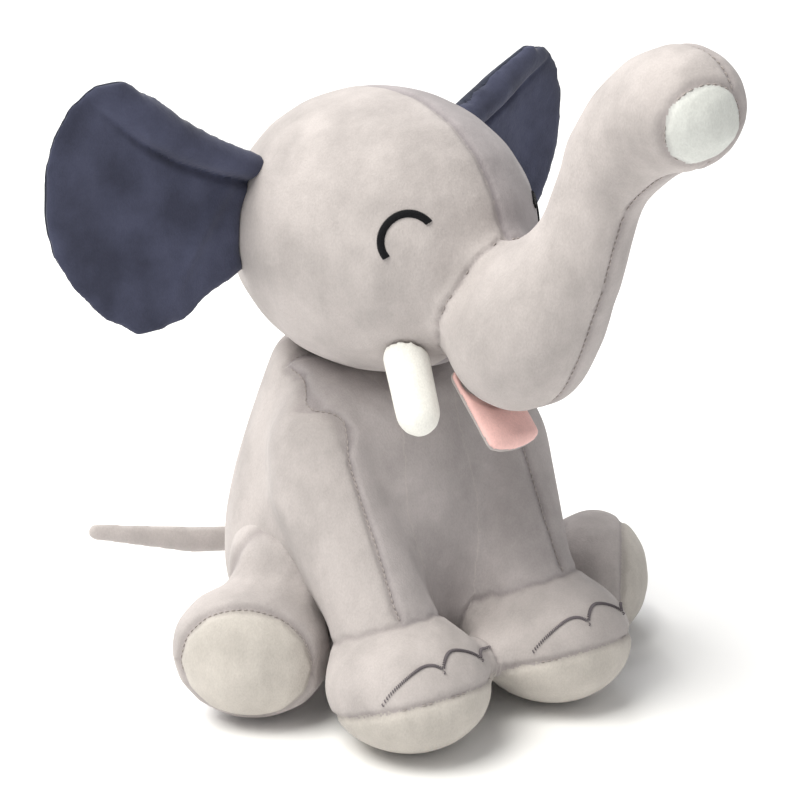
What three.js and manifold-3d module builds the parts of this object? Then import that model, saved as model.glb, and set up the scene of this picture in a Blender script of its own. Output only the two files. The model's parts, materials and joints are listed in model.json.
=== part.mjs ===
// A seated plush elephant, about 30 cm tall: velvety covers sewn from panels, each stuffed with fibre,
// with pellet bags in the seat and feet. Millimetres, +Z up, facing -Y, its right side towards -X.
import * as THREE from "three";
import { mergeVertices } from "three/addons/utils/BufferGeometryUtils.js";
import Module from "manifold-3d";

const wasm = await Module();
wasm.setup();

// ---------------------------------------------------------------- driving dimensions
const CLOTH = 2; // a cover with its seam allowance
const GAP = 0.3; // between pieces that touch
const PLAY = 1.2; // between bodies that move against each other
const FAR = 600; // larger than the toy
const SIDES = 14; // of a limb's round section
const FINE = 18; // sides of the body and the head

// The body of the toy: half width at each height, from the seat to the neck; it is less deep than wide.
const bodyOutline = [
  [30, 0],
  [49, 7],
  [62, 22],
  [69, 44],
  [68, 74],
  [61, 101],
  [52, 127],
  [43, 151],
];
const BODY_DEPTH = 0.86;
const BODY_Y = 10; // the body's upright axis stands this far back
const neckPlug = { at: [0, 6, 157], r: 29 };

const frontLeg = { hip: [47, -20, 101], ankle: [37, -52, 47], thick: [23.5, 23, 23.5] };
const SEAM_X = 43; // the side seams run this far from the middle, and on down the front legs
// A front foot's toes point a little upwards: its sole seam is `tilt` degrees higher in front.
const frontFoot = { at: [38, -70, 27], size: [37, 38, 29], seam: 20.5, tilt: 23 };
const hindLegs = [
  { side: -1, hip: [41, 6, 36], foot: [78, -13, 31], turn: 42 },
  { side: 1, hip: [41, 6, 36], foot: [95, -31, 26], turn: 50 },
];
const hindFoot = { size: [36, 27, 31], seam: 13, thick: [29, 24] };

// The head's own frame has its origin in the middle of the skull ball, turned and tilted to its left.
const headFrame = { at: [-2.6, -3, 200], yaw: 8, roll: 4.5 };
const head = { at: [0, 0, 0], size: [62.7, 71.7, 60.8] };
// The trunk's centre line and radius from the muzzle to the tip.
const trunkLine = [
  { at: [0, -82, -27], r: 32.5 },
  { at: [1, -93, -10], r: 29 },
  { at: [2, -103, 5], r: 23 },
  { at: [3, -109, 19], r: 19.5 },
  { at: [3, -113, 34], r: 19 },
  { at: [3, -119, 49], r: 21 },
  { at: [3, -130, 63], r: 23.5 },
  { at: [1, -142, 72], r: 25 },
  { at: [-2, -154, 76], r: 25.5 },
];
const trunkCuts = [2, 5]; // the stations where the middle and the end of the trunk begin to bend
const tipDisc = { r: 19, way: [-0.4, -0.89, -0.2] };

const ear = { root: [51, 26, 10], reach: 97, sweep: 10, thick: 4.5 };
const jaw = { root: [1, -58, -48], tip: [2, -80, -71], half: [15, 15], thick: 4.5 };
const tusk = { root: [25, -41, -36], tip: [28, -55, -62], r: [9.5, 9] };
const tail = { root: [-11, 71.5, 36], mid: [-46, 88, 38], tip: [-86, 108, 45], half: [3.2, 6] };
const eye = { azimuth: 38.7, height: 10.2, half: 11, rise: 10.6, tilt: 42, thread: 1.1 };

// How far each body swings from rest, in degrees, and the side that its positive way goes to.
const swing = {
  frontLeg: [0, 25], // forwards
  hindLeg: [0, 15], // outwards
  turn: [-15, 15], // to its left
  nod: [-7, 7], // upwards
  trunk: [-10, 10], // upwards, at each of its two bends
  jaw: [-6, 14], // open
  ear: [-20, 15], // forwards
  tail: [-15, 45], // to its left
};

// ---------------------------------------------------------------- solids
const X = [1, 0, 0];
const Z = [0, 0, 1];
const vector = (p) => new THREE.Vector3(...p);
const mirrored = (p, side) => [p[0] * side, p[1], p[2]];
const times = (p, scale) => p.map((v) => v * scale);
const grown = (p, grow) => p.map((v) => v + grow);
const degrees = THREE.MathUtils.degToRad;

// A closed three.js geometry as a solid that can be cut and joined.
function solid(geometry) {
  const bare = geometry.index ? geometry.toNonIndexed() : geometry.clone();
  for (const name of Object.keys(bare.attributes)) {
    if (name !== "position") bare.deleteAttribute(name);
  }
  const merged = mergeVertices(bare, 1e-4);
  const vertProperties = merged.attributes.position.array;
  const triVerts = new Uint32Array(merged.index.array);
  const made = new wasm.Manifold(new wasm.Mesh({ numProp: 3, vertProperties, triVerts }));
  if (made.volume() > 0) return made;
  return new wasm.Manifold(new wasm.Mesh({ numProp: 3, vertProperties, triVerts: triVerts.reverse() }));
}

function geometryOf(body) {
  const m = body.getMesh();
  const geometry = new THREE.BufferGeometry();
  geometry.setAttribute("position", new THREE.BufferAttribute(new Float32Array(m.vertProperties), 3));
  geometry.setIndex(new THREE.BufferAttribute(new Uint32Array(m.triVerts), 1));
  geometry.computeVertexNormals();
  return geometry;
}

// The biggest of the separate bodies that a cut leaves.
function largest(body) {
  return body.decompose().reduce((a, b) => (b.volume() > a.volume() ? b : a));
}

const joined = (bodies) => bodies.reduce((a, b) => a.add(b));

// A closed body through rings of points, with a point at each end.
function skinned(rings, first, last) {
  const n = rings[0].length;
  const points = [first, ...rings.flat(), last];
  const at = (ring, k) => 1 + ring * n + (k % n);
  const index = [];
  for (let k = 0; k < n; k++) {
    index.push(0, at(0, k + 1), at(0, k));
    index.push(points.length - 1, at(rings.length - 1, k), at(rings.length - 1, k + 1));
    for (let r = 0; r + 1 < rings.length; r++) {
      index.push(at(r, k), at(r, k + 1), at(r + 1, k));
      index.push(at(r, k + 1), at(r + 1, k + 1), at(r + 1, k));
    }
  }
  const flat = points.flatMap((p) => p.toArray());
  const geometry = new THREE.BufferGeometry();
  geometry.setAttribute("position", new THREE.Float32BufferAttribute(flat, 3));
  geometry.setIndex(index);
  return solid(geometry);
}

// A sausage through stations { at, r } with round ends, grown all over. A flat one has r [across, deep].
function sausage(stations, grow = 0, { sides = SIDES, roundings = 3, across = X } = {}) {
  const middle = stations.map((s) => vector(s.at));
  const radii = stations.map((s) => grown([s.r].flat().length > 1 ? s.r : [s.r, s.r], grow));
  const last = middle.length - 1;
  const way = (i) => {
    const before = middle[Math.max(0, i - 1)];
    return middle[Math.min(last, i + 1)].clone().sub(before).normalize();
  };
  const end = (i, out) =>
    Array.from({ length: roundings }, (_, k) => {
      const angle = ((k + 0.5) / roundings) * (Math.PI / 2);
      return { i, push: out * Math.cos(angle), scale: Math.sin(angle) };
    });
  const rows = [...end(0, -1), ...middle.map((_, i) => ({ i, push: 0, scale: 1 })), ...end(last, 1).reverse()];
  const rings = rows.map(({ i, push, scale }) => {
    const t = way(i);
    const side = vector(across).addScaledVector(t, -vector(across).dot(t)).normalize();
    const up = t.clone().cross(side);
    const centre = middle[i].clone().addScaledVector(t, push * Math.min(...radii[i]));
    return Array.from({ length: sides }, (_, k) => {
      const angle = (k / sides) * 2 * Math.PI;
      const point = centre.clone().addScaledVector(side, radii[i][0] * scale * Math.cos(angle));
      return point.addScaledVector(up, radii[i][1] * scale * Math.sin(angle));
    });
  });
  const pole = (i, out) => middle[i].clone().addScaledVector(way(i), out * Math.min(...radii[i]));
  return skinned(rings, pole(0, -1), pole(last, 1));
}

// A ball with three half sizes, turned about the upright axis.
function ball(at, size, sides = SIDES, turn = 0) {
  const g = new THREE.SphereGeometry(1, sides, Math.round(sides * 0.6));
  return solid(g.rotateX(Math.PI / 2).scale(...size).rotateZ(turn).translate(...at));
}

// Everything on the side of a plane that its normal points to.
function beyond(point, normal) {
  const g = new THREE.BoxGeometry(FAR, FAR, FAR).translate(0, 0, FAR / 2);
  const turn = new THREE.Quaternion().setFromUnitVectors(vector(Z), vector(normal).normalize());
  return solid(g.applyQuaternion(turn).translate(...point));
}
const above = (z) => beyond([0, 0, z], Z);
const sideOf = (x, sign) => beyond([x, 0, 0], times(X, sign));

// The space that a body sweeps as it swings about an axis between two angles.
function swept(body, pivot, axis, [from, to]) {
  const turned = [from, (from + to) / 2, to].map((angle) => {
    const turn = new THREE.Matrix4().makeRotationAxis(vector(axis), degrees(angle));
    const m = new THREE.Matrix4().makeTranslation(...pivot).multiply(turn);
    return body.transform(m.multiply(new THREE.Matrix4().makeTranslation(...times(pivot, -1))).elements);
  });
  return joined(turned);
}

const shell = (shape) => shape(0).subtract(shape(-CLOTH));
const stuffing = (shape) => shape(-CLOTH - GAP);

// ---------------------------------------------------------------- materials
const cloth = (color) => new THREE.MeshStandardMaterial({ color, roughness: 0.95, metalness: 0 });
const grey = cloth(0xbdb5b2);
const paleGrey = cloth(0xd0d1cb);
const slate = cloth(0x484b5d);
const white = cloth(0xf6f6ee);
const pink = cloth(0xf9c8c4);
const fibre = cloth(0xf2f0ea);
const thread = new THREE.MeshStandardMaterial({ color: 0x1c1c1e, roughness: 0.5, metalness: 0 });
const greyThread = new THREE.MeshStandardMaterial({ color: 0x6f6a70, roughness: 0.6, metalness: 0 });
const pellets = new THREE.MeshStandardMaterial({ color: 0xe4e4e0, roughness: 0.5, metalness: 0 });

const toy = new THREE.Group();
const skull = new THREE.Group();
skull.position.set(...headFrame.at);
skull.rotation.set(0, degrees(headFrame.roll), degrees(headFrame.yaw), "ZYX");
skull.updateMatrix();
toy.add(skull);
const fromHead = (body) => body.transform(skull.matrix.elements);
const toHead = (body) => body.transform(skull.matrix.clone().invert().elements);

function piece(group, name, body, material) {
  const mesh = new THREE.Mesh(geometryOf(body), material);
  mesh.name = name;
  group.add(mesh);
}

const pair = [
  { word: "right", sign: -1 },
  { word: "left", sign: 1 },
];

// ---------------------------------------------------------------- shapes, each grown by `grow`
const headShape = (grow) => ball(head.at, grown(head.size, grow), FINE);
const trunkPart = (from, to, grow) => sausage(trunkLine.slice(from, to + 1), grow);
const plug = (grow) => ball(neckPlug.at, grown(times([1, 1, 1], neckPlug.r), grow), 14);

function frontLegShape(sign, grow, look) {
  const { hip, ankle, thick } = frontLeg;
  const knee = hip.map((v, i) => (v + ankle[i]) / 2);
  const stations = [hip, knee, ankle].map((at, i) => ({ at: mirrored(at, sign), r: thick[i] }));
  return sausage(stations, grow, look);
}

const frontFootShape = (sign, grow) =>
  ball(mirrored(frontFoot.at, sign), grown(frontFoot.size, grow)).intersect(above(-grow));

// A body that the front foot of its side presses into.
const pressed = (body, sign, grow) => body.subtract(frontFootShape(sign, PLAY * 1.5 - grow));

// The body of the toy: its outline turned about the upright axis, and made less deep than wide.
function bodyShape(grow) {
  const curve = new THREE.SplineCurve(bodyOutline.map((p) => new THREE.Vector2(...p)));
  const steps = bodyOutline.length + 1;
  const side = Array.from({ length: steps + 1 }, (_, i) => {
    const t = curve.getTangent(i / steps);
    const p = curve.getPoint(i / steps);
    return new THREE.Vector2(p.x + t.y * grow, p.y - t.x * grow);
  });
  side[0].y = -grow;
  side[steps].y = bodyOutline[bodyOutline.length - 1][1] + grow;
  const profile = [new THREE.Vector2(0, side[0].y), ...side, new THREE.Vector2(0, side[steps].y)];
  const g = new THREE.LatheGeometry(profile, FINE).rotateX(Math.PI / 2);
  const body = solid(g.scale(1, BODY_DEPTH, 1).translate(0, BODY_Y, 0));
  return pair.reduce((left, { sign }) => pressed(left, sign, grow), body);
}

const outward = ({ side, turn }) => [side * Math.sin(degrees(turn)), -Math.cos(degrees(turn)), 0];

function hindLegShape(leg, grow, look) {
  const foot = mirrored(leg.foot, leg.side);
  const ankle = foot.map((v, i) => v - outward(leg)[i] * hindFoot.seam);
  const stations = [
    { at: mirrored(leg.hip, leg.side), r: hindFoot.thick[0] },
    { at: ankle, r: hindFoot.thick[1] },
  ];
  return pressed(sausage(stations, grow, look).intersect(above(-grow)), leg.side, grow);
}

function hindFootShape({ side, foot, turn }, grow) {
  const whole = ball(mirrored(foot, side), grown(hindFoot.size, grow), SIDES, degrees(side * turn));
  const frontLegRoom = frontLegShape(side, PLAY * 1.5 - grow, PLAIN);
  return largest(pressed(whole.intersect(above(-grow)), side, grow).subtract(frontLegRoom));
}

function jawShape(grow) {
  const middle = jaw.root.map((v, i) => (v + jaw.tip[i]) / 2);
  const widths = [jaw.half[0], jaw.half[0] * 0.7 + jaw.half[1] * 0.3, jaw.half[1]];
  const stations = [jaw.root, middle, jaw.tip].map((at, i) => ({ at, r: [widths[i], jaw.thick] }));
  return sausage(stations, grow);
}

const tuskShape = (sign, grow) =>
  sausage([tusk.root, tusk.tip].map((at, i) => ({ at: mirrored(at, sign), r: tusk.r[i] })), grow, { sides: 12 });

// ---------------------------------------------------------------- the space that moving bodies need
const PLAIN = { sides: 8, roundings: 1 };
const ROOMY = 4.5; // round a plain, many-sided copy of a limb
const limbSpace = joined([
  ...pair.map(({ sign }) =>
    swept(frontLegShape(sign, ROOMY, PLAIN), mirrored(frontLeg.hip, sign), X, times(swing.frontLeg, -1)),
  ),
  ...hindLegs.map((leg) =>
    swept(hindLegShape(leg, ROOMY, PLAIN), mirrored(leg.hip, leg.side), times(Z, leg.side), swing.hindLeg),
  ),
  ...hindLegs.map((leg) => hindFootShape(leg, ROOMY)),
  plug(PLAY),
]);
// The head turns about the middle of the neck, low inside it, so it sways most forwards and back.
const headSway = (head.size[2] - 16) * Math.sin(degrees(swing.nod[1]));
const headSpace = fromHead(
  ball(head.at, [head.size[0] + ROOMY, head.size[1] + headSway, head.size[2] + ROOMY * 1.4]),
);

// ---------------------------------------------------------------- body of the toy
const bodyRoom = limbSpace.add(headSpace);
const wall = shell(bodyShape).subtract(bodyRoom);
const bellyArea = (gap) =>
  sideOf(-SEAM_X - gap, 1)
    .intersect(sideOf(SEAM_X + gap, -1))
    .intersect(beyond([0, BODY_Y + gap, 0], [0, -1, 0]));
const seatBag = (grow) => ball([0, BODY_Y + 22, 8], grown([20, 18, 15], grow), 12);
piece(toy, "belly_panel", largest(wall.intersect(bellyArea(0))), grey);
for (const { word, sign } of pair) {
  const half = sideOf((sign * GAP) / 2, sign);
  piece(toy, `side_panel_${word}`, largest(wall.intersect(half).subtract(bellyArea(GAP))), grey);
}
piece(toy, "seat_pellet_bag", seatBag(0).intersect(stuffing(bodyShape)), pellets);
piece(toy, "body_filling", largest(stuffing(bodyShape).subtract(bodyRoom).subtract(seatBag(GAP))), fibre);
piece(toy, "neck_filling", plug(0), fibre);

// ---------------------------------------------------------------- head and trunk
const muzzleShape = (grow) => trunkPart(0, trunkCuts[0], grow);
const middleShape = (grow) => trunkPart(trunkCuts[0], trunkCuts[1], grow);
const endShape = (grow) => trunkPart(trunkCuts[1], trunkLine.length - 1, grow);
const [middleSpace, endSpace] = [middleShape(PLAY), endShape(PLAY)]; // each turns in its round socket
const jawSpace = swept(jawShape(PLAY), jaw.root, X, swing.jaw);
const headRoom = joined([toHead(plug(PLAY * 2)), jawSpace]);
const muzzleRoom = joined([headShape(GAP), middleSpace, jawSpace]);

const tipBall = trunkLine[trunkLine.length - 1];
const discFrom = (gap) => {
  const depth = Math.sqrt(tipBall.r ** 2 - tipDisc.r ** 2) + gap;
  const centre = vector(tipBall.at).addScaledVector(vector(tipDisc.way).normalize(), depth);
  return beyond(centre.toArray(), tipDisc.way);
};
for (const { word, sign } of pair) {
  const half = sideOf((sign * GAP) / 2, sign);
  const panel = (name, body) => piece(skull, `${name}_${word}`, largest(body.intersect(half)), grey);
  panel("head_panel", shell(headShape).subtract(headRoom));
  panel("muzzle_panel", shell(muzzleShape).subtract(muzzleRoom));
  panel("trunk_middle_panel", shell(middleShape).subtract(endSpace));
  panel("trunk_end_panel", shell(endShape).subtract(discFrom(-GAP)));
}
piece(skull, "trunk_tip_disc", largest(shell(endShape).intersect(discFrom(0))), paleGrey);
piece(skull, "head_filling", largest(stuffing(headShape).subtract(headRoom)), fibre);
piece(skull, "muzzle_filling", largest(stuffing(muzzleShape).subtract(muzzleRoom)), fibre);
piece(skull, "trunk_middle_filling", largest(stuffing(middleShape).subtract(endSpace)), fibre);
piece(skull, "trunk_end_filling", stuffing(endShape), fibre);

// ---------------------------------------------------------------- jaw and tusks
const jawWay = vector(jaw.tip).sub(vector(jaw.root)).normalize();
const jawFront = jawWay.clone().cross(vector(X)).normalize();
const jawLayer = (sign) => {
  const at = vector(jaw.root).addScaledVector(jawFront, (sign * GAP) / 2);
  return beyond(at.toArray(), jawFront.clone().multiplyScalar(sign).toArray());
};
const jawBody = jawShape(0).subtract(headShape(PLAY)).subtract(muzzleShape(PLAY));
piece(skull, "jaw_cover", largest(jawBody.intersect(jawLayer(-1))), grey);
piece(skull, "mouth_lining", largest(jawBody.intersect(jawLayer(1))), pink);

const tuskRoom = joined([headShape(GAP), muzzleShape(GAP)]);
for (const { word, sign } of pair) {
  const body = (grow) => tuskShape(sign, grow);
  piece(skull, `tusk_cover_${word}`, largest(shell(body).subtract(tuskRoom)), white);
  piece(skull, `tusk_filling_${word}`, largest(stuffing(body).subtract(tuskRoom)), fibre);
}

// ---------------------------------------------------------------- eyes
// A point on a ball, at an angle round it and a height above its middle, standing `off` its skin.
function onBall({ at, size }, angle, height, off, turn = 0) {
  const level = Math.sqrt(Math.max(0, 1 - (height / size[2]) ** 2));
  const p = new THREE.Vector3(Math.sin(angle) * size[0] * level, -Math.cos(angle) * size[1] * level, height);
  const normal = p.clone().divide(vector(size)).divide(vector(size)).normalize();
  return p.addScaledVector(normal, off).applyAxisAngle(vector(Z), turn).add(vector(at)).toArray();
}
const stitched = (points, r) => sausage(points.map((at) => ({ at, r })), 0, { sides: 6, roundings: 1 });

// A smiling eye: an arch whose outer end is the lower one.
const lean = degrees(eye.tilt);
for (const { word, sign } of pair) {
  const points = Array.from({ length: 9 }, (_, i) => {
    const t = ((i / 8 - 0.5) * 2 * Math.PI) / 2;
    const along = eye.half * Math.sin(t);
    const out = eye.rise * Math.cos(t);
    const inwards = (along * Math.cos(lean) - out * Math.sin(lean)) / head.size[0];
    const height = eye.height + along * Math.sin(lean) + out * Math.cos(lean);
    return onBall(head, sign * (degrees(eye.azimuth) - inwards), height, eye.thread + GAP);
  });
  piece(skull, `eye_${word}`, stitched(points, eye.thread), thread);
}

// ---------------------------------------------------------------- ears
// The ear's outline, from the upper end of its root round the rim to the lower end: out and up.
const earOutline = [
  [3, 22],
  [30, 37],
  [66, 57],
  [89, 43],
  [ear.reach, 12],
  [87, -20],
  [58, -47],
  [34, -46],
  [16, -34],
  [3, -25],
];
const EAR_MIDDLE = [50, 0];
const EAR_DISH = [7, 5]; // how far the rim stands forward of the middle: its far end, its top and bottom
function earLayer(sign, from, to) {
  const rim = new THREE.SplineCurve(earOutline.map((p) => new THREE.Vector2(...p))).getPoints(19);
  const angle = degrees(ear.sweep);
  const way = new THREE.Vector3(sign * Math.cos(angle), Math.sin(angle), 0);
  const front = new THREE.Vector3(sign * Math.sin(angle), -Math.cos(angle), 0);
  const place = (u, v, depth) => {
    const along = u / EAR_MIDDLE[0];
    const [far, ends] = [Math.max(0, along - 1) ** 2, Math.min(1, along) * (v / EAR_MIDDLE[0]) ** 2];
    const dish = EAR_DISH[0] * far + EAR_DISH[1] * ends;
    const point = vector(mirrored(ear.root, sign)).addScaledVector(way, u);
    return point.addScaledVector(front, dish + depth).addScaledVector(vector(Z), v);
  };
  const ring = (scale, depth) =>
    rim.map((p) => place(...EAR_MIDDLE.map((m, i) => m + (p.getComponent(i) - m) * scale), depth));
  const shrink = [0.45, 0.9];
  const rings = [
    ...shrink.map((s) => ring(s, to)),
    ring(1, (to + from) / 2),
    ...shrink.reverse().map((s) => ring(s, from)),
  ];
  const whole = skinned(rings, place(...EAR_MIDDLE, to), place(...EAR_MIDDLE, from));
  const headPast = swept(headShape(PLAY), mirrored(ear.root, sign), times(Z, sign), swing.ear);
  return largest(whole.subtract(headPast));
}
for (const { word, sign } of pair) {
  piece(skull, `ear_front_${word}`, earLayer(sign, GAP, ear.thick / 2), slate);
  piece(skull, `ear_back_${word}`, earLayer(sign, -ear.thick / 2, -GAP), slate);
}

// ---------------------------------------------------------------- front legs
const TOES = 3;
const TOE_THREAD = 0.8;
const toes = { spread: 150, arch: 10.5, rise: 5, turn: 20 };
const toeUp = degrees(frontFoot.tilt);
// The upper side of a front foot's sole seam.
const overSole = (gap) => beyond([0, frontFoot.at[1], frontFoot.seam + gap], [0, Math.sin(toeUp), Math.cos(toeUp)]);
// The line of the toes: three bumps on one broad arch that stands on the sole seam.
const TOE_STEPS = 14; // along each toe
const toeLine = Array.from({ length: TOES * TOE_STEPS + 1 }, (_, i) => {
  const t = i / TOE_STEPS;
  const angle = degrees(toes.turn + toes.spread * (t / TOES - 0.5));
  const seam = frontFoot.seam - frontFoot.at[2] + Math.tan(toeUp) * frontFoot.size[1] * Math.cos(angle) * 0.9;
  const bump = toes.rise * Math.abs(Math.sin(Math.PI * t)) ** 0.5;
  const broad = toes.arch * Math.abs(Math.sin((Math.PI * t) / TOES)) ** 0.3;
  return { angle, height: seam + broad + bump };
});
for (const { word, sign } of pair) {
  const leg = (grow) => frontLegShape(sign, grow);
  const foot = (grow) => frontFootShape(sign, grow);
  const seam = SEAM_X * sign;
  const legWall = shell(leg).subtract(foot(GAP));
  const inner = sideOf(seam - (sign * GAP) / 2, -sign);
  const outer = sideOf(seam + (sign * GAP) / 2, sign);
  piece(toy, `front_leg_inner_panel_${word}`, largest(legWall.intersect(inner)), grey);
  piece(toy, `front_leg_outer_panel_${word}`, largest(legWall.intersect(outer)), grey);
  piece(toy, `front_leg_filling_${word}`, largest(stuffing(leg).subtract(foot(GAP))), fibre);
  piece(toy, `front_foot_cover_${word}`, largest(shell(foot).intersect(overSole(GAP))), grey);
  piece(toy, `front_foot_sole_${word}`, largest(shell(foot).subtract(overSole(0))), grey);
  piece(toy, `front_foot_pellets_${word}`, stuffing(foot), pellets);
  const place = { at: mirrored(frontFoot.at, sign), size: frontFoot.size };
  const points = toeLine.map((p) => onBall(place, p.angle, p.height, TOE_THREAD + GAP * 2));
  piece(toy, `front_toe_stitching_${word}`, stitched(points, TOE_THREAD), greyThread);
}

// ---------------------------------------------------------------- hind legs
for (const limb of hindLegs) {
  const { word } = pair.find((p) => p.sign === limb.side);
  const leg = (grow) => hindLegShape(limb, grow);
  const foot = (grow) => hindFootShape(limb, grow);
  const soleFrom = (gap) => {
    const at = vector(mirrored(limb.foot, limb.side)).addScaledVector(vector(outward(limb)), hindFoot.seam + gap);
    return beyond(at.toArray(), outward(limb));
  };
  piece(toy, `hind_leg_cover_${word}`, largest(shell(leg).subtract(foot(GAP))), grey);
  piece(toy, `hind_leg_filling_${word}`, largest(stuffing(leg).subtract(foot(GAP))), fibre);
  piece(toy, `hind_foot_cover_${word}`, largest(shell(foot).subtract(soleFrom(-GAP))), grey);
  piece(toy, `hind_foot_sole_${word}`, largest(shell(foot).intersect(soleFrom(0))), grey);
  piece(toy, `hind_foot_pellets_${word}`, stuffing(foot), pellets);
}

// ---------------------------------------------------------------- tail
const tailStations = [
  { at: tail.root, r: tail.half },
  { at: tail.mid, r: grown(tail.half, 0.5) },
  { at: tail.tip, r: [tail.half[0] - 1, tail.half[1] - 2] },
];
const tailBody = sausage(tailStations, 0, { sides: 12, roundings: 2, across: [1, 1, 0] });
piece(toy, "tail", largest(tailBody.subtract(bodyShape(PLAY))), grey);

// The toy stands on z = 0, with the middle of its box over the origin.
const middle = new THREE.Box3().setFromObject(toy, true).getCenter(new THREE.Vector3());
toy.position.set(-middle.x, -middle.y, 0);

export default toy;
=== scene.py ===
import json
import math

import bmesh
import bpy
import numpy as np
from mathutils import Matrix, Vector
from mathutils.bvhtree import BVHTree


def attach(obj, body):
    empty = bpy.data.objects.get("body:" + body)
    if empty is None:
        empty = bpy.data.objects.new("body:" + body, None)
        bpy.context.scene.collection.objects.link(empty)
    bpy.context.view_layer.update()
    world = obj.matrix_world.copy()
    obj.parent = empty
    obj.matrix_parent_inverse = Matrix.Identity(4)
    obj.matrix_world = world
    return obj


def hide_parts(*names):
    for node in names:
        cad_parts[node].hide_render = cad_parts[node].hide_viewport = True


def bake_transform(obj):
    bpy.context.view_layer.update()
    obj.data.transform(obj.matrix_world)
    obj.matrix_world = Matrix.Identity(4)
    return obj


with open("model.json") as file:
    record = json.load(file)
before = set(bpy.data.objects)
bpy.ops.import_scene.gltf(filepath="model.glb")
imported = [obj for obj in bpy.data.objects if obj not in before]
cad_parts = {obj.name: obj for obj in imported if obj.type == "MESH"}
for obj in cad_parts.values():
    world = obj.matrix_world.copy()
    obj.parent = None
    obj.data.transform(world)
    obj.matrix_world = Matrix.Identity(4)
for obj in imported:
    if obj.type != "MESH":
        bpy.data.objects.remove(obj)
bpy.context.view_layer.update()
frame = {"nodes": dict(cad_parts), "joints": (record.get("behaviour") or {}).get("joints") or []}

# A seated plush elephant. Its covers are made here as smooth skins over the CAD's stuffed solids: joined,
# remeshed, puffed up by a cloth simulation, then pulled in along the seams. Metres; +Z up; it faces -Y.
MM = 0.001
JOINTS = {j["name"]: j for j in frame["joints"]}
SIDES = (("right", -1), ("left", 1))


def pivot(joint):
    return Vector(JOINTS[joint]["pos_m"])


# ------------------------------------------------------------------ camera
CAMERA_AIM = Vector((0.0096, 0.0289, 0.1233))
CAMERA_AZIMUTH = math.radians(-36)
CAMERA_ELEVATION = math.radians(20)
CAMERA_DISTANCE = 1.0

camera = bpy.data.objects.new("camera", bpy.data.cameras.new("camera"))
bpy.context.scene.collection.objects.link(camera)
bpy.context.scene.camera = camera
camera.data.lens = 104.9
camera.data.sensor_width = 36
back = Vector((
    math.sin(CAMERA_AZIMUTH) * math.cos(CAMERA_ELEVATION),
    -math.cos(CAMERA_AZIMUTH) * math.cos(CAMERA_ELEVATION),
    math.sin(CAMERA_ELEVATION),
))
camera.location = CAMERA_AIM + back * CAMERA_DISTANCE
camera.rotation_euler = back.to_track_quat("Z", "Y").to_euler()


# ------------------------------------------------------------------ mesh tools
def new_object(name, points, faces):
    mesh = bpy.data.meshes.new(name)
    mesh.from_pydata([tuple(p) for p in points], [], faces)
    mesh.update()
    return linked(name, mesh)


def linked(name, mesh):
    found = bpy.data.objects.new(name, mesh)
    bpy.context.scene.collection.objects.link(found)
    return found


def points_of(mesh):
    co = np.empty(len(mesh.vertices) * 3, np.float32)
    mesh.vertices.foreach_get("co", co)
    return co.reshape(-1, 3).astype(float)


def normals_of(mesh):
    found = np.empty(len(mesh.vertices) * 3, np.float32)
    mesh.vertex_normals.foreach_get("vector", found)
    return found.reshape(-1, 3).astype(float)


def move_points(mesh, co):
    mesh.vertices.foreach_set("co", co.astype(np.float32).ravel())
    mesh.update()


def baked(obj):
    """The object with its modifiers applied."""
    bpy.context.view_layer.update()
    mesh = bpy.data.meshes.new_from_object(obj.evaluated_get(bpy.context.evaluated_depsgraph_get()))
    old = obj.data
    obj.modifiers.clear()
    obj.data = mesh
    bpy.data.meshes.remove(old)
    return obj


def discard(obj):
    bpy.data.objects.remove(obj)


def joined(meshes):
    """The points and faces of several (points, faces) pairs as one pair."""
    points, faces = [], []
    for p, f in meshes:
        faces += [tuple(i + len(points) for i in face) for face in f]
        points += list(p)
    return points, faces


def lists_of(bm):
    """The points and faces of an open mesh."""
    return [v.co.copy() for v in bm.verts], [tuple(v.index for v in f.verts) for f in bm.faces]


def solid_of(*nodes):
    """The CAD nodes' own meshes as one (points, faces) pair."""
    found = []
    for node in nodes:
        mesh = frame["nodes"][node].data
        bm = bmesh.new()
        bm.from_mesh(mesh)
        bmesh.ops.remove_doubles(bm, verts=bm.verts, dist=1e-6)
        bm.verts.index_update()
        found.append(lists_of(bm))
        bm.free()
    return joined(found)


def hull_of(*nodes):
    """The convex hull of the CAD nodes as a (points, faces) pair."""
    bm = bmesh.new()
    for p in solid_of(*nodes)[0]:
        bm.verts.new(p)
    hull = bmesh.ops.convex_hull(bm, input=bm.verts)
    bmesh.ops.delete(bm, geom=list({g for g in hull["geom_interior"]}), context="VERTS")
    bm.verts.index_update()
    made = lists_of(bm)
    bm.free()
    return made


def box_of(*nodes):
    """The corners of the box round the CAD nodes."""
    points = np.array(solid_of(*nodes)[0])
    return Vector(points.min(axis=0)), Vector(points.max(axis=0))


def centre_of(*nodes):
    low, high = box_of(*nodes)
    return (low + high) / 2


def distances(co, nodes):
    """How far each point is from the CAD nodes' surface."""
    tree = BVHTree.FromPolygons(*solid_of(*nodes))
    return np.array([tree.find_nearest(Vector(p))[3] for p in co])


# ------------------------------------------------------------------ stuffed skins
CLOTH_FRAMES = 20


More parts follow.
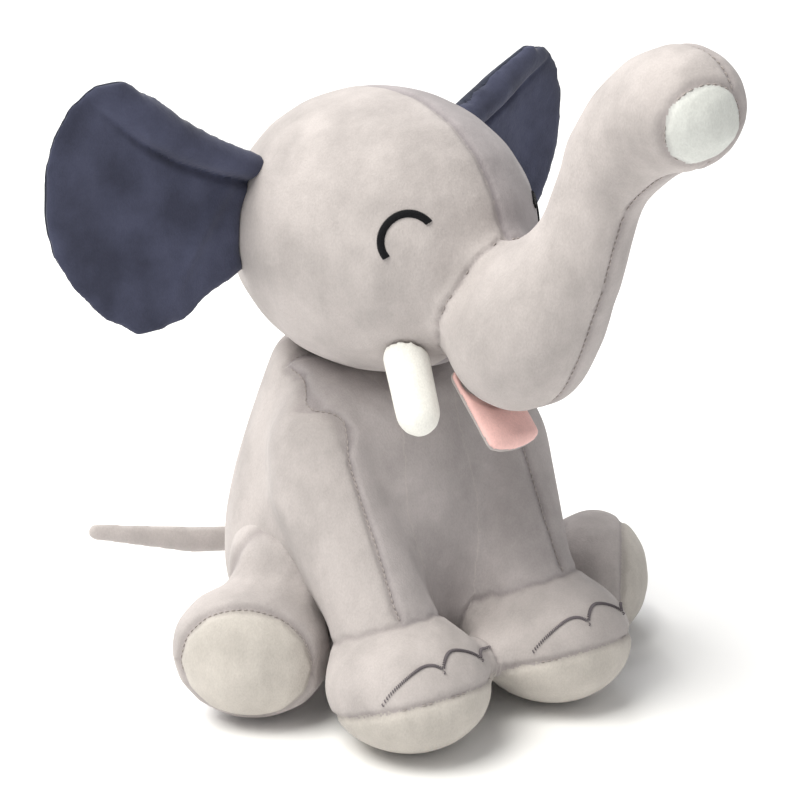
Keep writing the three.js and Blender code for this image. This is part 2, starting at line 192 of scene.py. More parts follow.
def simulate(obj, pins, cap):
    """Puffs the skin up with pressure, held along its seams; no point moves further than cap."""
    before = points_of(obj.data)
    held = obj.vertex_groups.new(name="held")
    for i in np.flatnonzero(pins):
        held.add([int(i)], 1.0, "REPLACE")
    cloth = obj.modifiers.new("cloth", "CLOTH")
    settings = cloth.settings
    settings.quality = 4
    settings.mass = 0.2
    settings.tension_stiffness = 12
    settings.compression_stiffness = 8
    settings.shear_stiffness = 6
    settings.bending_stiffness = 0.4
    settings.vertex_group_mass = "held"
    settings.use_pressure = True
    settings.uniform_pressure_force = 4
    settings.effector_weights.gravity = 0
    scene = bpy.context.scene
    for f in range(1, CLOTH_FRAMES + 1):
        scene.frame_set(f)
    baked(obj)
    scene.frame_set(1)
    obj.vertex_groups.clear()
    moved = points_of(obj.data) - before
    length = np.linalg.norm(moved, axis=1, keepdims=True)
    move_points(obj.data, before + moved * np.minimum(1, cap / np.maximum(length, 1e-9)))


def merge(obj, voxel):
    """Makes one skin of overlapping solids, once the object is baked."""
    remesh = obj.modifiers.new("remesh", "REMESH")
    remesh.mode = "VOXEL"
    remesh.voxel_size = voxel


def stuffed(name, parts, panels, voxel=4 * MM, smooth=8, swell=1.2 * MM, cap=2.5 * MM, fine=2):
    """A smooth closed skin over (points, faces) parts, puffed up between the seams of its panels."""
    obj = new_object(name, *joined(parts))
    bm = bmesh.new()
    bm.from_mesh(obj.data)
    bmesh.ops.recalc_face_normals(bm, faces=bm.faces)
    bm.to_mesh(obj.data)
    bm.free()
    move_points(obj.data, points_of(obj.data) + normals_of(obj.data) * swell)
    merge(obj, voxel)
    smoothing = obj.modifiers.new("smooth", "SMOOTH")
    smoothing.factor = 0.5
    smoothing.iterations = smooth
    baked(obj)
    if cap == 0:
        move_points(obj.data, points_of(obj.data) - normals_of(obj.data) * swell * 0.5)
    else:
        move_points(obj.data, points_of(obj.data) - normals_of(obj.data) * (swell + cap * 0.4))
        simulate(obj, seam_distance(points_of(obj.data), panels)[0] < voxel * 0.6, cap)
    finer = obj.modifiers.new("finer", "SUBSURF")
    finer.levels = fine
    baked(obj)
    obj.data.shade_smooth()
    return obj


def seam_distance(co, panels):
    """How far each point is from the nearest seam between panels, and which panel it is on."""
    if len(panels) < 2:
        return np.full(len(co), 1.0), np.zeros(len(co), int)
    far = np.stack([distances(co, nodes) for nodes in panels.values()])
    order = np.sort(far, axis=0)
    return order[1] - order[0], np.argmin(far, axis=0)


# How much painted shade darkens each panel: the toy's left side, turned away from the key light, and the
# belly with the inner legs, underneath.
PAINTED_SIDE_SHADE = {"head_left": 1.0, "side_left": 0.4, "trunk_left": 0.25, "belly": 0.5}
SEAM_DEPTH = 1.1 * MM
SEAM_WIDTH = 1.6 * MM


def sew(obj, panels, depth=SEAM_DEPTH, width=SEAM_WIDTH):
    """Pulls the skin in along its seams, and notes how near each point is to one for the material."""
    co = points_of(obj.data)
    far, label = seam_distance(co, panels)
    pull = np.exp(-((far / width) ** 2))
    move_points(obj.data, co - normals_of(obj.data) * (pull * depth)[:, None])
    near = obj.data.attributes.new("seam", "FLOAT", "POINT")
    near.data.foreach_set("value", pull.astype(np.float32))
    which = obj.data.attributes.new("panel", "INT", "POINT")
    which.data.foreach_set("value", label.astype(np.int32))
    # each point's share of painted shade, from its panel
    side_shade_share = np.array([PAINTED_SIDE_SHADE.get(name, 0) for name in panels] or [0.0])
    side_shade = obj.data.attributes.new("side_shade", "FLOAT", "POINT")
    side_shade.data.foreach_set("value", side_shade_share[label].astype(np.float32))
    return obj


def centres_of(obj):
    """The middle of each face."""
    found = np.empty(len(obj.data.polygons) * 3, np.float32)
    obj.data.polygons.foreach_get("center", found)
    return found.reshape(-1, 3).astype(float)


def labels_of(obj):
    """The number of the panel that each face lies on."""
    on_points = np.empty(len(obj.data.vertices), np.int32)
    obj.data.attributes["panel"].data.foreach_get("value", on_points)
    return on_points[[p.vertices[0] for p in obj.data.polygons]]


def part_of(obj, name, wanted):
    """A new object with only the wanted faces of another one."""
    mesh = obj.data.copy()
    bm = bmesh.new()
    bm.from_mesh(mesh)
    bm.faces.ensure_lookup_table()
    bmesh.ops.delete(bm, geom=[bm.faces[int(i)] for i in np.flatnonzero(~wanted)], context="FACES")
    bm.to_mesh(mesh)
    bm.free()
    return linked(name, mesh)


# ------------------------------------------------------------------ materials
def ramp(tree, source, low, high, dark, light):
    """A colour from dark to light as the source value goes from low to high."""
    node = tree.nodes.new("ShaderNodeValToRGB")
    node.color_ramp.elements[0].position = low
    node.color_ramp.elements[1].position = high
    node.color_ramp.elements[0].color = (*dark, 1)
    node.color_ramp.elements[1].color = (*light, 1)
    tree.links.new(source, node.inputs["Fac"])
    return node.outputs["Color"]


def noise(tree, vector, scale, detail=2, stretch=(1, 1, 1)):
    place = tree.nodes.new("ShaderNodeMapping")
    place.inputs["Scale"].default_value = stretch
    tree.links.new(vector, place.inputs["Vector"])
    node = tree.nodes.new("ShaderNodeTexNoise")
    node.inputs["Scale"].default_value = scale
    node.inputs["Detail"].default_value = detail
    tree.links.new(place.outputs["Vector"], node.inputs["Vector"])
    return node.outputs["Fac"]


def mixed(tree, kind, factor, a, b):
    node = tree.nodes.new("ShaderNodeMix")
    node.data_type = "RGBA"
    node.blend_type = kind
    node.inputs["Factor"].default_value = factor
    tree.links.new(a, node.inputs["A"])
    tree.links.new(b, node.inputs["B"])
    return node.outputs["Result"]


def written(tree, name):
    """A value that sew() wrote on the mesh."""
    node = tree.nodes.new("ShaderNodeAttribute")
    node.attribute_name = name
    return node.outputs["Fac"]


def tinted(colour, by):
    return tuple(min(1, c * by) for c in colour)


SIDE_SHADE_TINT = (0.80, 0.80, 0.84) # painted shade: shaded panels are made cooler and darker


def plush(name, colour, sheen=0.12, mottle=0.07, pile=1.0):
    """Short velvety pile: patches where it lies differently and fine tufts, with painted shade along the
    seam grooves and on the shaded panels.
    """
    material = bpy.data.materials.new(name)
    material.use_nodes = True
    tree = material.node_tree
    shader = tree.nodes["Principled BSDF"]
    where = tree.nodes.new("ShaderNodeTexCoord").outputs["Object"]
    lying = noise(tree, where, 38, 4)
    patches = ramp(tree, lying, 0.36, 0.62, tinted(colour, 1 - mottle), tinted(colour, 1 + mottle))
    lay = ramp(tree, noise(tree, where, 190, 3, (1, 1, 0.45)), 0.3, 0.7, (0.94,) * 3, (1.0,) * 3)
    tufts = noise(tree, where, 1500, 2, (1, 1, 0.6))
    specks = ramp(tree, tufts, 0.3, 0.7, (0.9,) * 3, (1.0,) * 3)
    # painted shade in the seam grooves
    shade = ramp(tree, written(tree, "seam"), 0.0, 1.0, (1.0,) * 3, (0.80, 0.79, 0.80))
    # painted shade on the panels of the toy's left side and belly
    side_shade = ramp(tree, written(tree, "side_shade"), 0.0, 1.0, (1.0,) * 3, SIDE_SHADE_TINT)
    colour_out = patches
    for layer in (lay, specks, shade, side_shade):
        colour_out = mixed(tree, "MULTIPLY", 1, colour_out, layer)
    tree.links.new(colour_out, shader.inputs["Base Color"])
    shader.inputs["Roughness"].default_value = 0.92
    shader.inputs["Specular IOR Level"].default_value = 0.15
    shader.inputs["Sheen Weight"].default_value = sheen
    shader.inputs["Sheen Roughness"].default_value = 0.45
    deep = tree.nodes.new("ShaderNodeBump")
    deep.inputs["Strength"].default_value = 0.5 * pile
    deep.inputs["Distance"].default_value = 0.25 * MM
    tree.links.new(tufts, deep.inputs["Height"])
    soft = tree.nodes.new("ShaderNodeBump")
    soft.inputs["Strength"].default_value = 0.35 * pile
    soft.inputs["Distance"].default_value = 0.8 * MM
    tree.links.new(noise(tree, where, 260, 3), soft.inputs["Height"])
    tree.links.new(deep.outputs["Normal"], soft.inputs["Normal"])
    tree.links.new(soft.outputs["Normal"], shader.inputs["Normal"])
    return material


def linear(red, green, blue):
    """A colour given as on a screen, from 0 to 255, as the shader takes it."""
    screen = (c / 255 for c in (red, green, blue))
    return tuple(c / 12.92 if c < 0.04 else ((c + 0.055) / 1.055) ** 2.4 for c in screen)


GREY = plush("grey_plush", linear(187, 180, 178), mottle=0.11)
PALE = plush("sole_plush", linear(200, 194, 187), mottle=0.09)
DISC = plush("disc_plush", linear(214, 216, 212))
SLATE = plush("ear_plush", linear(72, 75, 95), sheen=0.2, mottle=0.24)
DARK_SLATE = plush("ear_back_plush", linear(52, 56, 70), sheen=0.15, mottle=0.18)
WHITE = plush("white_felt", linear(247, 246, 240), sheen=0.1, mottle=0.02, pile=0.5)
PINK = plush("pink_plush", linear(250, 204, 198), sheen=0.2, mottle=0.04, pile=0.6)
BLACK = plush("black_thread", linear(24, 24, 27), sheen=0.1, mottle=0.2, pile=0.5)
GREY_THREAD = plush("grey_thread", linear(112, 106, 110), sheen=0.1, mottle=0.2, pile=0.5)
SEAM_THREAD = plush("seam_thread", linear(172, 164, 160), sheen=0.1, mottle=0.1, pile=0.5)
FIBRE = plush("fibre_filling", linear(240, 238, 232), sheen=0.2, mottle=0.03, pile=1.5)


def dressed(obj, material):
    obj.data.materials.clear()
    obj.data.materials.append(material)
    return obj


# ------------------------------------------------------------------ body, front legs and feet
def named(word, *kinds):
    return [f"{kind}_{word}" for kind in kinds]


def ball_of(centre, radius, sides=16):
    bm = bmesh.new()
    bmesh.ops.create_uvsphere(bm, u_segments=sides, v_segments=sides // 2, radius=radius)
    points, faces = lists_of(bm)
    bm.free()
    return [p + centre for p in points], faces


def cut(obj, other, operation):
    """The object cut by, or kept inside, another closed mesh."""
    boolean = obj.modifiers.new("cut", "BOOLEAN")
    boolean.object = other
    boolean.operation = operation
    boolean.solver = "MANIFOLD"
    return baked(obj)


def beside(joint, sign, offset):
    """A point beside a joint, with the offset in millimetres mirrored to its side."""
    return pivot(joint) + Vector((sign * offset[0], offset[1], offset[2])) * MM


def copy_of(obj, name):
    return linked(name, obj.data.copy())


SHARP = math.radians(50)
# Balls that round off the top of each front leg: out, back and up from its joint, and radius.
SHOULDER, SHOULDER_R = (-4, 6, 14), 24 * MM
SLOPE, SLOPE_R = (-14, 10, 26), 19 * MM
middle_x = pivot("head_turn").x

body_panels = {
    "belly": ["belly_panel", "front_leg_inner_panel_right", "front_leg_inner_panel_left"],
    "side_right": ["side_panel_right", "front_leg_outer_panel_right"],
    "side_left": ["side_panel_left", "front_leg_outer_panel_left"],
}
body_parts = [hull_of("belly_panel", "side_panel_right", "side_panel_left")]
leg_parts = {}
for word, sign in SIDES:
    leg = named(word, "front_leg_inner_panel", "front_leg_outer_panel", "front_leg_filling")
    foot = named(word, "front_foot_cover", "front_foot_sole", "front_foot_pellets")
    leg_parts[word] = [hull_of(*leg), hull_of(*foot)]
    body_parts += leg_parts[word]
    for offset, radius in ((SHOULDER, SHOULDER_R), (SLOPE, SLOPE_R)):
        body_parts.append(ball_of(beside(f"front_leg_{word}_swing", sign, offset), radius))
    body_panels[f"foot_{word}"] = [foot[0]]
    body_panels[f"sole_{word}"] = [foot[1]]
whole_body = stuffed("whole_body", body_parts, body_panels, smooth=14)
sew(whole_body, body_panels)

# Each front leg is what lies within a slightly larger leg, which widens over the shoulder.
LEG_ROOM, SHOULDER_ROOM = 3.5 * MM, 11 * MM
WIDENS_FROM, WIDENS_OVER = -30 * MM, 35 * MM # up from the leg's joint
WIDE_TOP = (0, 4, 16)
MIDDLE_GAP = 0.4 * MM
torso = copy_of(whole_body, "torso_cover")
for word, sign in SIDES:
    joint = f"front_leg_{word}_swing"
    shoulder = ball_of(beside(joint, sign, WIDE_TOP), SHOULDER_R)
    around = new_object(f"around_{word}", *joined([*leg_parts[word], shoulder]))
    merge(around, 5 * MM)
    baked(around)
    co = points_of(around.data)
    rise = np.clip((co[:, 2] - pivot(joint).z - WIDENS_FROM) / WIDENS_OVER, 0, 1)
    co += normals_of(around.data) * (LEG_ROOM + SHOULDER_ROOM * rise * rise)[:, None]
    inner = middle_x + sign * MIDDLE_GAP
    co[:, 0] = np.maximum(co[:, 0] * sign, inner * sign) * sign
    move_points(around.data, co)
    leg = cut(copy_of(whole_body, f"front_leg_cover_{word}"), around, "INTERSECT")
    cut(torso, around, "DIFFERENCE")
    leg.data.set_sharp_from_angle(angle=SHARP)
    discard(around)
torso.data.set_sharp_from_angle(angle=SHARP)


# ------------------------------------------------------------------ pieces cut from the skins
SEAM_STITCH = 2.6 * MM
STITCH_RADIUS = 0.26 * MM
SHORTEST_SEAM = 8 # edges
STITCH_SHAPE = ((0.1, -0.15), (0.35, 0.3), (0.65, 0.3), (0.88, -0.15)) # along its length, and mm out


def on_ends(mesh, name, kind):
    """Each edge's two points, and the values that sew() wrote there."""
    values = np.empty(len(mesh.vertices), kind)
    mesh.attributes[name].data.foreach_get("value", values)
    ends = np.empty(len(mesh.edges) * 2, np.int32)
    mesh.edges.foreach_get("vertices", ends)
    return ends.reshape(-1, 2), values[ends.reshape(-1, 2)]


def seam_lines(mesh, first, second):
    """Where two panels meet: lists of edge midpoints, in order along each line."""
    ends, labels = on_ends(mesh, "panel", np.int32)
    sewn = on_ends(mesh, "seam", np.float32)[1].min(axis=1) > 0.5
    crossing = sewn & (labels.min(axis=1) == min(first, second))
    crossing &= labels.max(axis=1) == max(first, second)
    corner_edges = np.empty(len(mesh.loops), np.int32)
    mesh.loops.foreach_get("edge_index", corner_edges)
    face_of = np.repeat(np.arange(len(mesh.polygons)), [p.loop_total for p in mesh.polygons])
    used = crossing[corner_edges]
    by_face = {}
    for face, edge in zip(face_of[used], corner_edges[used]):
        by_face.setdefault(face, []).append(int(edge))
    links = {}
    for pair in by_face.values():
        if len(pair) == 2:
            links.setdefault(pair[0], []).append(pair[1])
            links.setdefault(pair[1], []).append(pair[0])
    middles = points_of(mesh)[ends].mean(axis=1)
    normals = normals_of(mesh)[ends].mean(axis=1)
    found = []
    for start in sorted(links, key=lambda e: len(links[e])):
        line = []
        edge = start
        while edge in links:
            line.append(edge)
            ways = [e for e in links.pop(edge) if e in links]
            edge = ways[0] if ways else None
        if len(line) > SHORTEST_SEAM:
            found.append((middles[line], normals[line]))
    return found


def evened(line, step):
    """A line of points smoothed, then spaced evenly."""
    for _ in range(12):
        line = np.vstack([line[:1], (line[:-2] + 2 * line[1:-1] + line[2:]) / 4, line[-1:]])
    along = np.concatenate([[0], np.cumsum(np.linalg.norm(np.diff(line, axis=0), axis=1))])
    at = np.arange(step / 2, along[-1], step)
    return np.stack([np.interp(at, along, line[:, k]) for k in range(3)], axis=1)


def strand(path, up, radius, sides=6):
    """A closed thread along a short path of points; up is the way out of the cloth."""
    points, faces = [], []
    for i, p in enumerate(path):
        way = (path[min(i + 1, len(path) - 1)] - path[max(i - 1, 0)]).normalized()
        side = way.cross(up).normalized()
        lift = side.cross(way)
        thick = radius * (0.55 if i in (0, len(path) - 1) else 1)
        for k in range(sides):
            turn = 2 * math.pi * k / sides
            points.append(p + side * math.cos(turn) * thick + lift * math.sin(turn) * thick)
        if i:
            a, b = (i - 1) * sides, i * sides
            faces += [(a + k, a + (k + 1) % sides, b + (k + 1) % sides, b + k) for k in range(sides)]
    faces.append(tuple(range(sides))[::-1])
    faces.append(tuple(range(len(points) - sides, len(points))))
    return points, faces


def stitches(name, skin, pairs, panels):
    """Short stitches that hold two panels together, along every seam between the named pairs."""
    names = list(panels)
    parts = []
    for first, second in pairs:
        for line, normals in seam_lines(skin.data, names.index(first), names.index(second)):
            even = evened(line, SEAM_STITCH)
            for a, b in zip(even[:-1], even[1:]):
                near = np.argmin(np.linalg.norm(line - (a + b) / 2, axis=1))
                up = Vector(normals[near]).normalized()
                a, b = Vector(a), Vector(b)
                path = [a.lerp(b, t) + up * h * MM for t, h in STITCH_SHAPE]
                parts.append(strand(path, up, STITCH_RADIUS))
    if not parts:
        return None
    made = dressed(new_object(name, *joined(parts)), SEAM_THREAD)
    made.data.shade_smooth()
    return made


def finished(obj, material, nodes):
    """A stuffed piece with its material, standing for its CAD nodes."""
    dressed(obj, material)
    obj.data.set_sharp_from_angle(angle=SHARP)
    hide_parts(*nodes)
    return obj


def with_stitches(skin, pairs, panels, bind):
    """Hands a skin to bind, and the stitches of its seams with it."""
    thread = stitches(f"stitches_of_{skin.name}", skin, pairs, panels)
    bind(skin)
    if thread:
        bind(thread)


body_seams = [("belly", "side_right"), ("belly", "side_left"), ("side_right", "side_left")]
torso_nodes = ["belly_panel", "side_panel_right", "side_panel_left", "body_filling", "seat_pellet_bag"]
finished(torso, GREY, torso_nodes)
with_stitches(torso, body_seams, body_panels, lambda o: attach(o, "torso"))

for word, _ in SIDES:
    whole = bpy.data.objects[f"front_leg_cover_{word}"]
    labels = labels_of(whole)
    on_sole = labels == list(body_panels).index(f"sole_{word}")
    leg = part_of(whole, f"front_leg_skin_{word}", ~on_sole)
    sole = part_of(whole, f"front_sole_skin_{word}", on_sole)
    discard(whole)
    leg_nodes = named(word, "front_leg_inner_panel", "front_leg_outer_panel", "front_leg_filling")
    finished(leg, GREY, [*leg_nodes, *named(word, "front_foot_cover", "front_foot_pellets")])
    finished(sole, PALE, named(word, "front_foot_sole"))
    hip = pivot(f"front_leg_{word}_swing")
    down = (centre_of(f"front_foot_cover_{word}") - hip).normalized()
    body = f"front_leg_{word}"
    with_stitches(
        leg, [*body_seams, (f"foot_{word}", f"sole_{word}")], body_panels,
        lambda o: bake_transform(o),
    )
    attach(sole, body)
discard(whole_body)

# ------------------------------------------------------------------ head and trunk
head_x = Vector(JOINTS["jaw_open"]["axis"])
head_z = Vector(JOINTS["ear_right_swing"]["axis"])
head_y = head_z.cross(head_x)

head_panels = {
    "head_right": ["head_panel_right"],
    "head_left": ["head_panel_left"],
    "trunk_right": ["muzzle_panel_right", "trunk_middle_panel_right", "trunk_end_panel_right"],
    "trunk_left": ["muzzle_panel_left", "trunk_middle_panel_left", "trunk_end_panel_left"],
    "disc": ["trunk_tip_disc"],
}
head_parts = [
    hull_of("head_panel_right", "head_panel_left"),
    hull_of("muzzle_panel_right", "muzzle_panel_left"),
    solid_of("trunk_middle_panel_right", "trunk_middle_panel_left", "trunk_middle_filling"),
    solid_of("trunk_end_panel_right", "trunk_end_panel_left", "trunk_end_filling", "trunk_tip_disc"),
]
whole_head = stuffed("whole_head", head_parts, head_panels, smooth=6)
sew(whole_head, head_panels)

# The trunk bends at two places; its skin is cut into pieces FOLD past each.
FOLD, TRUNK_BEND = 3 * MM, 22 * MM
bend, curl, tip = pivot("trunk_bend"), pivot("trunk_curl"), centre_of("trunk_tip_disc")
to_curl, to_tip = (curl - bend).normalized(), (tip - curl).normalized()
labels = labels_of(whole_head)
centres = centres_of(whole_head)
on_trunk = labels >= list(head_panels).index("trunk_right")
on_disc = labels == list(head_panels).index("disc")
past_bend = on_trunk & ((centres - np.array(bend)) @ np.array(to_curl) > FOLD)
past_curl = on_trunk & ((centres - np.array(curl)) @ np.array(to_tip) > FOLD)
head_seams = [("trunk_right", "trunk_left"), ("head_right", "trunk_right"), ("head_left", "trunk_left")]

head_skin = part_of(whole_head, "head_skin", ~(past_bend | past_curl | on_disc))
head_nodes = [node for word, _ in SIDES for node in named(word, "head_panel", "muzzle_panel")]
finished(head_skin, GREY, [*head_nodes, "head_filling", "muzzle_filling"])
with_stitches(head_skin, head_seams, head_panels, lambda o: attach(o, "head"))

middle_skin = part_of(whole_head, "trunk_middle_skin", past_bend & ~past_curl & ~on_disc)
middle_nodes = ["trunk_middle_panel_right", "trunk_middle_panel_left", "trunk_middle_filling"]
finished(middle_skin, GREY, middle_nodes)
with_stitches(
    middle_skin, head_seams, head_panels,
    lambda o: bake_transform(o),
)

end_skin = part_of(whole_head, "trunk_end_skin", past_curl & ~on_disc)
end_nodes = ["trunk_end_panel_right", "trunk_end_panel_left", "trunk_end_filling"]
finished(end_skin, GREY, end_nodes)
with_stitches(
    end_skin, [*head_seams, ("trunk_right", "disc"), ("trunk_left", "disc")], head_panels,
    lambda o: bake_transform(o),
)
disc_skin = part_of(whole_head, "trunk_disc_skin", on_disc)
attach(finished(disc_skin, DISC, ["trunk_tip_disc"]), "trunk_end")
discard(whole_head)

# ------------------------------------------------------------------ hind legs, tail, jaw and tusks
THIGH, THIGH_R = (4, -4, 21), 31 * MM # a ball out, back and up from the leg's joint
for word, sign in SIDES:
    leg_nodes = named(word, "hind_leg_cover", "hind_leg_filling")
    foot_nodes = named(word, "hind_foot_cover", "hind_foot_sole", "hind_foot_pellets")
    panels = {"leg": leg_nodes[:1], "foot": foot_nodes[:1], "sole": foot_nodes[1:2]}
    thigh = ball_of(beside(f"hind_leg_{word}_swing", sign, THIGH), THIGH_R)
    parts = [solid_of(*leg_nodes), solid_of(*foot_nodes), thigh]
    whole = stuffed(f"whole_hind_leg_{word}", parts, panels, voxel=3 * MM, smooth=8)
    sew(whole, panels)
    on_sole = labels_of(whole) == list(panels).index("sole")
    leg = part_of(whole, f"hind_leg_skin_{word}", ~on_sole)
    sole = part_of(whole, f"hind_sole_skin_{word}", on_sole)
    discard(whole)
    finished(leg, GREY, [*leg_nodes, foot_nodes[0], foot_nodes[2]])
    finished(sole, PALE, [foot_nodes[1]])
    with_stitches(leg, [("foot", "sole")], panels, lambda o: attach(o, f"hind_leg_{word}"))
    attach(sole, f"hind_leg_{word}")

# Small pieces aren't simulated: their skins only follow their solids.
SMALL = {"smooth": 4, "cap": 0, "fine": 1}
tail = stuffed("tail_skin", [solid_of("tail")], {}, voxel=1.5 * MM, swell=0.3 * MM, **SMALL)

# The last TAIL_ROOT of the tail is stretched on into the body.
TAIL_ROOT = 16 * MM
TAIL_REACH = 10 * MM
away = (centre_of("tail") - pivot("tail_swing")).normalized()
co = points_of(tail.data)
near_root = np.clip(1 - (co - np.array(pivot("tail_swing"))) @ np.array(away) / TAIL_ROOT, 0, 1.2)
move_points(tail.data, co - (near_root * TAIL_REACH)[:, None] * np.array(away))
finished(sew(tail, {}), GREY, ["tail"])
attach(tail, "tail")

jaw_panels = {"cover": ["jaw_cover"], "lining": ["mouth_lining"]}
jaw_part = [solid_of("jaw_cover", "mouth_lining")]
jaw = stuffed("whole_jaw", jaw_part, jaw_panels, voxel=1.2 * MM, swell=0.4 * MM, **SMALL)
sew(jaw, jaw_panels, depth=0.4 * MM, width=0.8 * MM)
inside = labels_of(jaw) == list(jaw_panels).index("lining")
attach(finished(part_of(jaw, "jaw_skin", ~inside), GREY, ["jaw_cover"]), "jaw")
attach(finished(part_of(jaw, "mouth_skin", inside), PINK, ["mouth_lining"]), "jaw")
discard(jaw)

for word, _ in SIDES:
    nodes = named(word, "tusk_cover", "tusk_filling")
    tusk = stuffed(f"tusk_skin_{word}", [hull_of(*nodes)], {}, voxel=1.5 * MM, swell=0.4 * MM, **SMALL)
    finished(sew(tusk, {}), WHITE, nodes)
    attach(tusk, "head")

# ------------------------------------------------------------------ ears
EAR_SWEEP = math.radians(10)
# Lines on an ear, as points out from its root and up, in millimetres.
EAR_TOP = ((0, 22), (30, 37), (66, 57), (85, 48)) # its upper edge
EAR_CREASE = ((0, 8), (36, 21), (53, 30), (78, 48)) # under the thick roll along that edge
EAR_PLEAT = ((14, 9), (29, -19)) # a soft fold down from the crease
ROLL = 5 * MM # how far the roll stands out, in front and behind
ROLL_END, ROLL_FADE = 80 * MM, 35 * MM # where it ends, and over what length it fades
CREASE_DEPTH, CREASE_WIDTH = 2.6 * MM, 2.2 * MM
PLEAT_RISE, PLEAT_WIDTH, PLEAT_LENGTH = 1.6 * MM, 3 * MM, 14 * MM
ROOT_LENGTH, ROOT_REACH = 26 * MM, 9 * MM # how far the ear's root is stretched on into the head


def height_of(line, out):
    return np.interp(out, [p[0] * MM for p in line], [p[1] * MM for p in line])


def hill(x, width):
    """1 where x is 0, falling off smoothly to both sides."""
    return np.exp(-((x / width) ** 2))


def folded(out, up, face):
    """How far an ear's points stand forward of its plain shape; face is 1 in front and -1 behind."""
    over_crease = up - height_of(EAR_CREASE, out)
    roll_height = np.maximum(height_of(EAR_TOP, out) - height_of(EAR_CREASE, out), 0.1 * MM)
    fade = np.clip((ROLL_END - out) / ROLL_FADE, 0, 1)
    roll = np.sin(np.pi * np.clip(over_crease / roll_height, 0, 1)) ** 0.7 * ROLL * fade
    crease = hill(over_crease, CREASE_WIDTH) * CREASE_DEPTH * fade * (face > 0)
    start, end = (np.array(p) * MM for p in EAR_PLEAT)
    along = (end - start) / np.linalg.norm(end - start)
    across = (out - start[0]) * along[1] - (up - start[1]) * along[0]
    pleat = hill(across, PLEAT_WIDTH) * PLEAT_RISE * (over_crease < 0)
    pleat *= hill(out - (start[0] + end[0]) / 2, PLEAT_LENGTH) * (face > 0)
    return face * (roll + pleat) - crease


for word, sign in SIDES:
    panels = {"front": named(word, "ear_front"), "back": named(word, "ear_back")}
    parts = [solid_of(*named(word, "ear_front", "ear_back"))]
    ear = stuffed(f"whole_ear_{word}", parts, panels, voxel=2 * MM, smooth=5, swell=0.6 * MM, cap=0, fine=1)
    sew(ear, panels, depth=0.7 * MM, width=1.1 * MM)
    way = np.array(head_x * sign * math.cos(EAR_SWEEP) + head_y * math.sin(EAR_SWEEP))
    ahead = np.array(head_x * sign * math.sin(EAR_SWEEP) - head_y * math.cos(EAR_SWEEP))
    co = points_of(ear.data)
    from_root = co - np.array(pivot(f"ear_{word}_swing"))
    out, up = from_root @ way, from_root @ np.array(head_z)
    face = np.clip(normals_of(ear.data) @ ahead * 1.6, -1, 1)
    root = np.clip(1 - out / ROOT_LENGTH, 0, 1) ** 2 * ROOT_REACH
    move_points(ear.data, co + folded(out, up, face)[:, None] * ahead - root[:, None] * way)
    at_back = labels_of(ear) == list(panels).index("back")
    for layer, faces, material in (("front", ~at_back, SLATE), ("back", at_back, DARK_SLATE)):
        skin = part_of(ear, f"ear_{layer}_skin_{word}", faces)
        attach(finished(skin, material, panels[layer]), f"ear_{word}")
    discard(ear)

# ------------------------------------------------------------------ embroidery
# A smiling eye is an arch on the head's ball, leaning outwards.
EYE_AZIMUTH = math.radians(38.7) # from straight ahead
EYE_HEIGHT, EYE_HALF, EYE_RISE = 10.2 * MM, 11 * MM, 10.6 * MM
EYE_LEAN = math.radians(42)
EYE_WIDTH = 3.6 * MM
EYE_STITCHES = 96
HEAD_HALF = (62.7 * MM, 71.7 * MM, 60.8 * MM) # half the width, depth and height of that ball
EAR_ROOT = (26 * MM, 10 * MM) # behind and above the middle of the head
between_ears = (pivot("ear_right_swing") + pivot("ear_left_swing")) / 2
head_middle = between_ears - head_y * EAR_ROOT[0] - head_z * EAR_ROOT[1]


def skin_tree(obj):
    mesh = obj.data
    return BVHTree.FromPolygons([v.co for v in mesh.vertices], [p.vertices for p in mesh.polygons])


def on_ball(half, angle, height):
    """A point on a ball with three half sizes, at an angle round it from its front."""
    level = math.sqrt(max(0, 1 - (height / half[2]) ** 2))
    return Vector((math.sin(angle) * half[0] * level, -math.cos(angle) * half[1] * level, height))


def on_skin(tree, middle, way):
    """Where a line from the middle of a stuffed ball comes out of its skin."""
    return tree.ray_cast(middle, way.normalized())[0]


def eye_point(tree, sign, turn):
    """A point of an eye's arch, from its outer to its inner end as turn goes from -90 to 90 degrees."""
    along, out = EYE_HALF * math.sin(turn), EYE_RISE * math.cos(turn)
    inwards = (along * math.cos(EYE_LEAN) - out * math.sin(EYE_LEAN)) / HEAD_HALF[0]
    height = EYE_HEIGHT + along * math.sin(EYE_LEAN) + out * math.cos(EYE_LEAN)
    p = on_ball(HEAD_HALF, sign * (EYE_AZIMUTH - inwards), height)
    return on_skin(tree, head_middle, head_x * p.x + head_y * p.y + head_z * p.z)


def satin(points, middle, width, radius=0.27 * MM):
    """A band of close stitches laid across a line, each a little slanted."""
    half = width / 2 - radius
    parts = []
    for before, at, after in zip(points, points[1:], points[2:]):
        way = (after - before).normalized()
        up = (at - middle).normalized()
        side = up.cross(way).normalized()
        up = way.cross(side)
        shape = ((-1, -0.1), (-0.7, 0.5), (0, 0.8), (0.7, 0.5), (1, -0.1))
        slanted = side * half + way * 0.3 * MM
        parts.append(strand([at + slanted * s + up * h * MM for s, h in shape], up, radius))
    return parts


def embroidered(name, parts, material, node, body):
    """A piece of embroidery that stands for a CAD node."""
    made = dressed(new_object(name, *joined(parts)), material)
    made.data.shade_smooth()
    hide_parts(node)
    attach(made, body)


head_tree = skin_tree(head_skin)
turns = [math.pi * (i / EYE_STITCHES - 0.5) for i in range(EYE_STITCHES + 1)]
for word, sign in SIDES:
    parts = satin([eye_point(head_tree, sign, turn) for turn in turns], head_middle, EYE_WIDTH)
    embroidered(f"eye_thread_{word}", parts, BLACK, f"eye_{word}", "head")

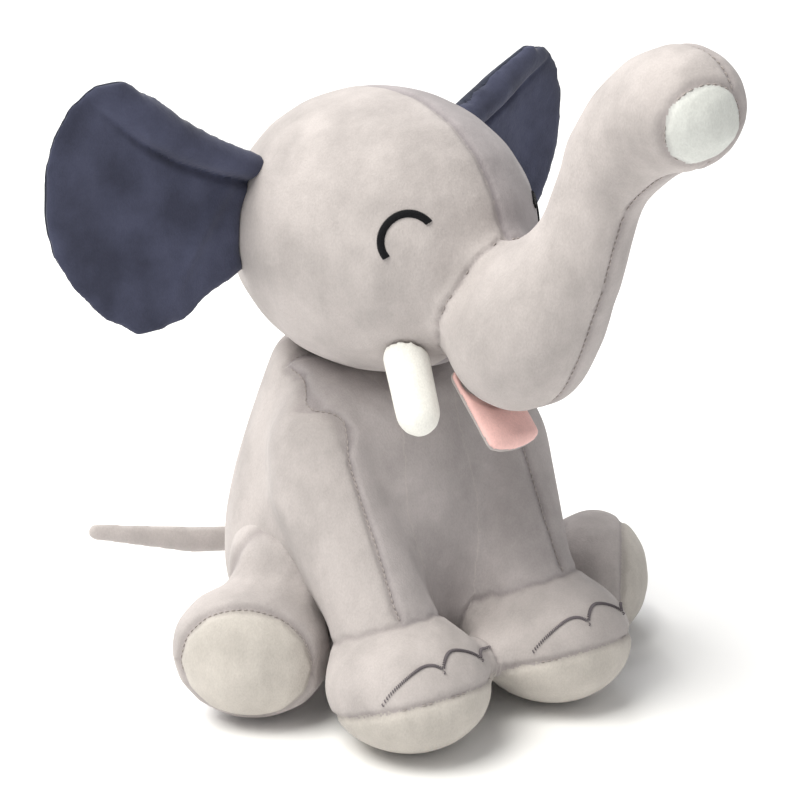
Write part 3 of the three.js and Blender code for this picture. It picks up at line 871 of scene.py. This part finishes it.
# The line of the toes: three bumps on one broad arch that stands on the tilted sole seam.
TOES = 3
TOE_STITCHES = 40 # along each toe
TOE_WIDTH, TOE_THREAD = 1.7 * MM, 0.3 * MM
TOE_SPREAD, TOE_TURN = math.radians(150), math.radians(20) # how far round the foot, and about where
TOE_TILT = math.radians(23) # of the sole seam
TOE_ARCH, TOE_RISE = 10.5 * MM, 5 * MM # the height of the broad arch, and of each toe on it
FOOT_RISE = 29 * MM # from the middle of a front foot's ball to its top
SOLE_DROP = 6.5 * MM # of the sole seam below that middle
for word, _ in SIDES:
    low, high = box_of(f"front_foot_cover_{word}", f"front_foot_sole_{word}")
    middle = (low + high) / 2
    middle.z = high.z - FOOT_RISE
    half = ((high.x - low.x) / 2, (high.y - low.y) / 2, FOOT_RISE)
    tree = skin_tree(bpy.data.objects[f"front_leg_skin_{word}"])
    line = []
    for i in range(TOES * TOE_STITCHES + 1):
        t = i / TOE_STITCHES
        angle = TOE_TURN + TOE_SPREAD * (t / TOES - 0.5)
        seam = math.tan(TOE_TILT) * half[1] * math.cos(angle) * 0.9 - SOLE_DROP
        bump = TOE_RISE * abs(math.sin(math.pi * t)) ** 0.5
        broad = TOE_ARCH * abs(math.sin(math.pi * t / TOES)) ** 0.3
        point = on_skin(tree, middle, on_ball(half, angle, seam + broad + bump))
        if point:
            line.append(point)
    parts = satin(line, middle, TOE_WIDTH, radius=TOE_THREAD)
    toe_node = f"front_toe_stitching_{word}"
    embroidered(f"toe_thread_{word}", parts, GREY_THREAD, toe_node, f"front_leg_{word}")

dressed(frame["nodes"]["neck_filling"], FIBRE)

# ------------------------------------------------------------------ studio
FLOOR = 4.0
corners = [(x * FLOOR, y * FLOOR, 0) for x, y in ((-1, -1), (1, -1), (1, 1), (-1, 1))]
floor = new_object("floor", corners, [(0, 1, 2, 3)])
paper = bpy.data.materials.new("paper")
paper.use_nodes = True
paper_shader = paper.node_tree.nodes["Principled BSDF"]
paper_shader.inputs["Base Color"].default_value = (0.97, 0.97, 0.97, 1)
paper_shader.inputs["Roughness"].default_value = 0.9
paper_shader.inputs["Specular IOR Level"].default_value = 0.1
dressed(floor, paper)

world = bpy.data.worlds.new("studio")
bpy.context.scene.world = world
world.use_nodes = True
world.node_tree.nodes["Background"].inputs["Color"].default_value = (1, 1, 1, 1)
world.node_tree.nodes["Background"].inputs["Strength"].default_value = 0.4
bpy.context.scene.view_settings.view_transform = "Standard"


def soft_light(name, at, size, watts, colour=(1, 1, 1)):
    """A square lamp that faces the toy."""
    lamp = bpy.data.objects.new(name, bpy.data.lights.new(name, "AREA"))
    bpy.context.scene.collection.objects.link(lamp)
    lamp.data.energy = watts
    lamp.data.size = size
    lamp.data.color = colour
    lamp.location = at
    lamp.rotation_euler = (Vector(at) - Vector((0, 0, 0.15))).to_track_quat("Z", "Y").to_euler()


# A warm key light from the toy's right, and a broad one from behind and above.
soft_light("key", (-1.6, 0.1, 3.0), 2.0, 126, (1, 0.985, 0.93))
soft_light("overhead", (0.3, 2.5, 3.0), 3.0, 90)
